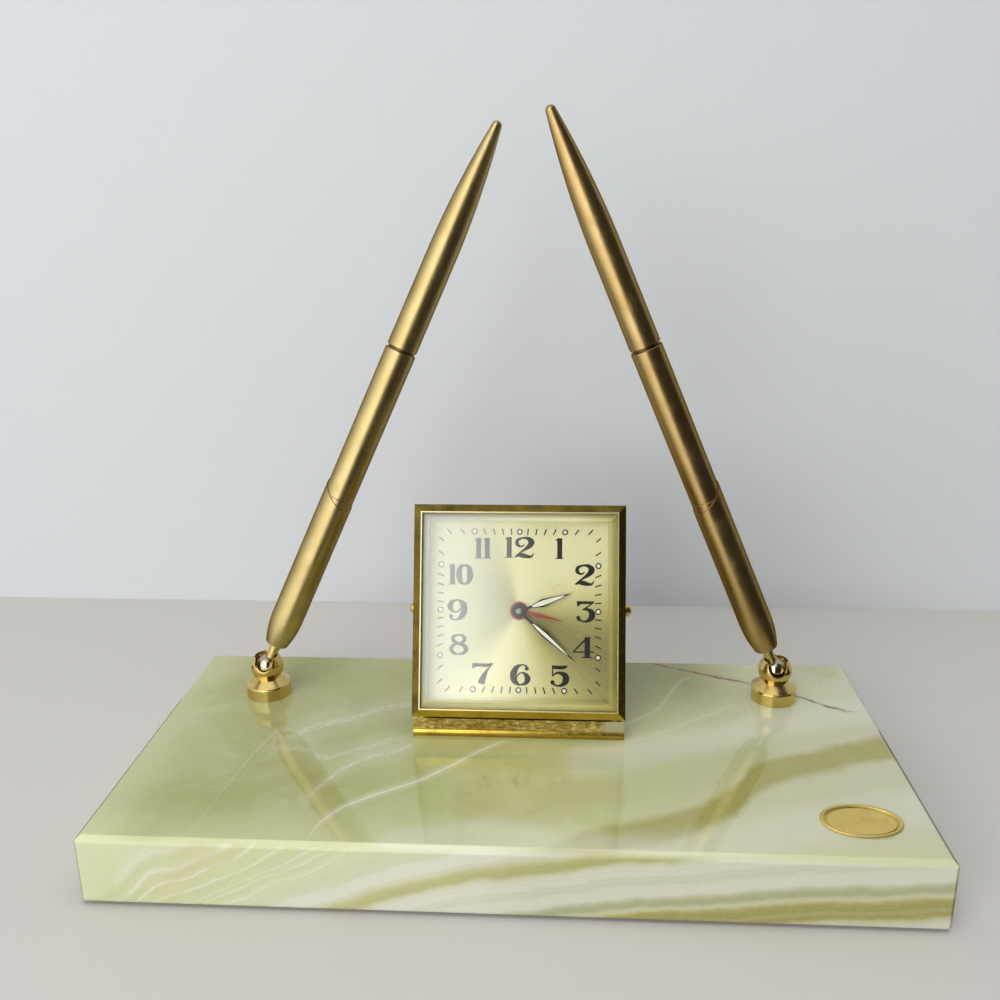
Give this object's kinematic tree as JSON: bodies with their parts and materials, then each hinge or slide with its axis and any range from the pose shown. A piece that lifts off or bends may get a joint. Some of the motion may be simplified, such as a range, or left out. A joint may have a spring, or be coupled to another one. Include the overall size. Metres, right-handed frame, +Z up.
{
  "type": "desk clock pen set",
  "caption": "Polished onyx desk base with leaning brass pens in ball swivels and a square tilting wind-up alarm clock in a brass yoke.",
  "frame": {"origin": "middle of the underside of the base, on the surface that it stands on", "axes": "+Z up, +X to the right and -Y to the front, where the dial faces"},
  "size_m": [0.203, 0.0978, 0.1829],
  "materials": {
    "onyx": "polished",
    "felt": "matte",
    "label_foil": "satin",
    "steel": "satin",
    "polished_brass": "polished",
    "chrome_ball": "polished",
    "seat_plastic": "matte",
    "pen_brass": "satin",
    "ring_brass": "satin",
    "refill_brass": "satin",
    "clock_gold": "polished",
    "case_gold": "satin",
    "lens_clear": "polished",
    "dial_gold": "satin",
    "hand_black": "satin",
    "hand_red": "satin",
    "movement_brass": "satin",
    "movement_steel": "satin"
  },
  "bodies": {
    "base": {"onyx_slab": "onyx", "felt_pad": "felt", "oval_label": "label_foil", "swivel_screws": "steel", "yoke_screws": "steel", "base_washers": "steel", "yoke_nuts": "polished_brass", "left_socket": "polished_brass", "right_socket": "polished_brass", "clock_yoke": "clock_gold", "pivot_washers": "steel"},
    "clock": {"pivot_screws": "polished_brass", "bezel": "clock_gold", "lens": "lens_clear", "dial": "dial_gold", "case": "case_gold", "back_cover": "case_gold", "cover_screws": "steel", "front_plate": "movement_brass", "back_plate": "movement_brass", "pillars": "movement_steel"},
    "left_seat": {"left_ball_seat": "seat_plastic"},
    "left_holder": {"left_ball_stem": "chrome_ball", "left_pen_holder": "pen_brass"},
    "left_pen": {"left_pen_nose": "pen_brass", "left_pen_barrel": "pen_brass", "left_pen_ring": "ring_brass"},
    "left_pen_top": {"left_pen_upper": "pen_brass"},
    "left_refill": {"left_pen_refill": "refill_brass"},
    "right_seat": {"right_ball_seat": "seat_plastic"},
    "right_holder": {"right_ball_stem": "chrome_ball", "right_pen_holder": "pen_brass"},
    "right_pen": {"right_pen_nose": "pen_brass", "right_pen_barrel": "pen_brass", "right_pen_ring": "ring_brass"},
    "right_pen_top": {"right_pen_upper": "pen_brass"},
    "right_refill": {"right_pen_refill": "refill_brass"},
    "time_setting": {"centre_arbor": "movement_steel", "minute_hand": "hand_black", "time_set_knob": "polished_brass"},
    "minute_work": {"minute_wheel": "movement_brass"},
    "hour_work": {"hour_wheel": "movement_brass", "hour_hand": "hand_black"},
    "alarm_setting": {"alarm_set_knob": "polished_brass"},
    "alarm_work": {"alarm_wheel": "movement_brass", "alarm_hand": "hand_red"},
    "time_winding": {"time_key": "polished_brass"},
    "alarm_winding": {"alarm_key": "polished_brass"},
    "stop_control": {"stop_button": "polished_brass"},
    "regulator": {"regulator_lever": "movement_steel"},
    "going_barrel": {"time_barrel": "movement_brass", "time_mainspring": "movement_steel"},
    "ringing_barrel": {"alarm_barrel": "movement_brass", "alarm_mainspring": "movement_steel"},
    "centre_train": {"centre_wheel": "movement_brass"},
    "third_train": {"third_wheel": "movement_brass"},
    "fourth_train": {"fourth_wheel": "movement_brass"},
    "escape_train": {"escape_wheel": "movement_steel"},
    "pallet": {"pallet_lever": "movement_steel"},
    "balance": {"balance_wheel": "movement_brass"}
  },
  "joints": [
    {"name": "clock_tilt", "type": "hinge", "parent": "base", "child": "clock", "pos_m": [0.001, 0.0176, 0.0493], "axis": [-1, 0, 0], "range_deg": [-19.6, 40]},
    {"name": "left_swivel_turn", "type": "hinge", "parent": "base", "child": "left_seat", "pos_m": [-0.0751, 0.0234, 0.0275], "axis": [0, 0, 1], "continuous": true},
    {"name": "left_swivel_lean", "type": "hinge", "parent": "left_seat", "child": "left_holder", "pos_m": [-0.0751, 0.0234, 0.0275], "axis": [-0.2583, 0.9661, 0], "range_deg": [-50.84, 0]},
    {"name": "left_pen_lift", "type": "slide", "parent": "left_holder", "child": "left_pen", "axis": [0.4147, 0.1109, 0.9032], "range_m": [0, 0.06]},
    {"name": "left_pen_twist", "type": "hinge", "parent": "left_pen", "child": "left_pen_top", "pos_m": [-0.0751, 0.0234, 0.0275], "axis": [0.4147, 0.1109, 0.9032], "range_deg": [0, 180]},
    {"name": "left_refill_slide", "type": "slide", "parent": "left_pen", "child": "left_refill", "axis": [-0.4147, -0.1109, -0.9032], "range_m": [0, 0.0035]},
    {"name": "right_swivel_turn", "type": "hinge", "parent": "base", "child": "right_seat", "pos_m": [0.0751, 0.0262, 0.0275], "axis": [0, 0, 1], "continuous": true},
    {"name": "right_swivel_lean", "type": "hinge", "parent": "right_seat", "child": "right_holder", "pos_m": [0.0751, 0.0262, 0.0275], "axis": [-0.0407, -0.9992, 0], "range_deg": [-46.44, 0]},
    {"name": "right_pen_lift", "type": "slide", "parent": "right_holder", "child": "right_pen", "axis": [-0.3939, 0.016, 0.919], "range_m": [0, 0.06]},
    {"name": "right_pen_twist", "type": "hinge", "parent": "right_pen", "child": "right_pen_top", "pos_m": [0.0751, 0.0262, 0.0275], "axis": [-0.3939, 0.016, 0.919], "range_deg": [0, 180]},
    {"name": "right_refill_slide", "type": "slide", "parent": "right_pen", "child": "right_refill", "axis": [0.3939, -0.016, -0.919], "range_m": [0, 0.0035]},
    {"name": "time_set_turn", "type": "hinge", "parent": "clock", "child": "time_setting", "pos_m": [0.001, 0.0176, 0.0493], "axis": [0, 0.9421, -0.3355], "continuous": true},
    {"name": "minute_wheel_turn", "type": "hinge", "parent": "clock", "child": "minute_work", "pos_m": [0.0058, 0.01481, 0.04147], "axis": [0, 0.9421, -0.3355], "continuous": true},
    {"name": "hour_wheel_turn", "type": "hinge", "parent": "clock", "child": "hour_work", "pos_m": [0.001, 0.0176, 0.0493], "axis": [0, 0.9421, -0.3355], "continuous": true},
    {"name": "alarm_set_turn", "type": "hinge", "parent": "clock", "child": "alarm_setting", "pos_m": [-0.00731, 0.01921, 0.05382], "axis": [0, 0.9421, -0.3355], "continuous": true},
    {"name": "alarm_wheel_turn", "type": "hinge", "parent": "clock", "child": "alarm_work", "pos_m": [0.001, 0.0176, 0.0493], "axis": [0, 0.9421, -0.3355], "continuous": true},
    {"name": "time_key_turn", "type": "hinge", "parent": "clock", "child": "time_winding", "pos_m": [-0.00903, 0.01524, 0.04268], "axis": [0, 0.9421, -0.3355], "continuous": true},
    {"name": "alarm_key_turn", "type": "hinge", "parent": "clock", "child": "alarm_winding", "pos_m": [0.0114, 0.01472, 0.0412], "axis": [0, 0.9421, -0.3355], "continuous": true},
    {"name": "stop_button_pull", "type": "slide", "parent": "clock", "child": "stop_control", "axis": [0, 0.9421, -0.3355], "range_m": [0, 0.0025]},
    {"name": "regulator_swing", "type": "hinge", "parent": "clock", "child": "regulator", "pos_m": [-0.0157, 0.02153, 0.06035], "axis": [0, 0.9421, -0.3355], "range_deg": [-25, 25]},
    {"name": "fourth_wheel_turn", "type": "hinge", "parent": "clock", "child": "fourth_train", "pos_m": [-0.00262, 0.021, 0.05886], "axis": [0, 0.9421, -0.3355], "continuous": true},
    {"name": "third_wheel_turn", "type": "hinge", "parent": "clock", "child": "third_train", "pos_m": [0.00559, 0.02027, 0.05679], "axis": [0, 0.9421, -0.3355], "continuous": true},
    {"name": "centre_wheel_turn", "type": "hinge", "parent": "clock", "child": "centre_train", "pos_m": [0.001, 0.0176, 0.0493], "axis": [0, 0.9421, -0.3355], "continuous": true},
    {"name": "time_barrel_turn", "type": "hinge", "parent": "clock", "child": "going_barrel", "pos_m": [-0.00903, 0.01524, 0.04268], "axis": [0, 0.9421, -0.3355], "continuous": true},
    {"name": "escape_wheel_turn", "type": "hinge", "parent": "clock", "child": "escape_train", "pos_m": [-0.00602, 0.02298, 0.06441], "axis": [0, 0.9421, -0.3355], "continuous": true},
    {"name": "alarm_barrel_turn", "type": "hinge", "parent": "clock", "child": "ringing_barrel", "pos_m": [0.0114, 0.01472, 0.0412], "axis": [0, 0.9421, -0.3355], "continuous": true},
    {"name": "pallet_rock", "type": "hinge", "parent": "clock", "child": "pallet", "pos_m": [-0.01059, 0.0223, 0.06249], "axis": [0, 0.9421, -0.3355], "range_deg": [-4, 4]},
    {"name": "balance_swing", "type": "hinge", "parent": "clock", "child": "balance", "pos_m": [-0.0157, 0.02153, 0.06035], "axis": [0, 0.9421, -0.3355], "range_deg": [-180, 180]}
  ],
  "couplings": [
    {"joint": "left_refill_slide", "follows": "left_pen_twist", "m_per_rad": 0.001114},
    {"joint": "right_refill_slide", "follows": "right_pen_twist", "m_per_rad": 0.001114},
    {"joint": "minute_wheel_turn", "follows": "time_set_turn", "ratio": -0.33333},
    {"joint": "hour_wheel_turn", "follows": "time_set_turn", "ratio": 0.083333},
    {"joint": "alarm_wheel_turn", "follows": "alarm_set_turn", "ratio": -0.25},
    {"joint": "third_wheel_turn", "follows": "fourth_wheel_turn", "ratio": -0.13333},
    {"joint": "centre_wheel_turn", "follows": "fourth_wheel_turn", "ratio": 0.017778},
    {"joint": "time_barrel_turn", "follows": "fourth_wheel_turn", "ratio": -0.002963},
    {"joint": "escape_wheel_turn", "follows": "fourth_wheel_turn", "ratio": -7.5}
  ]
}
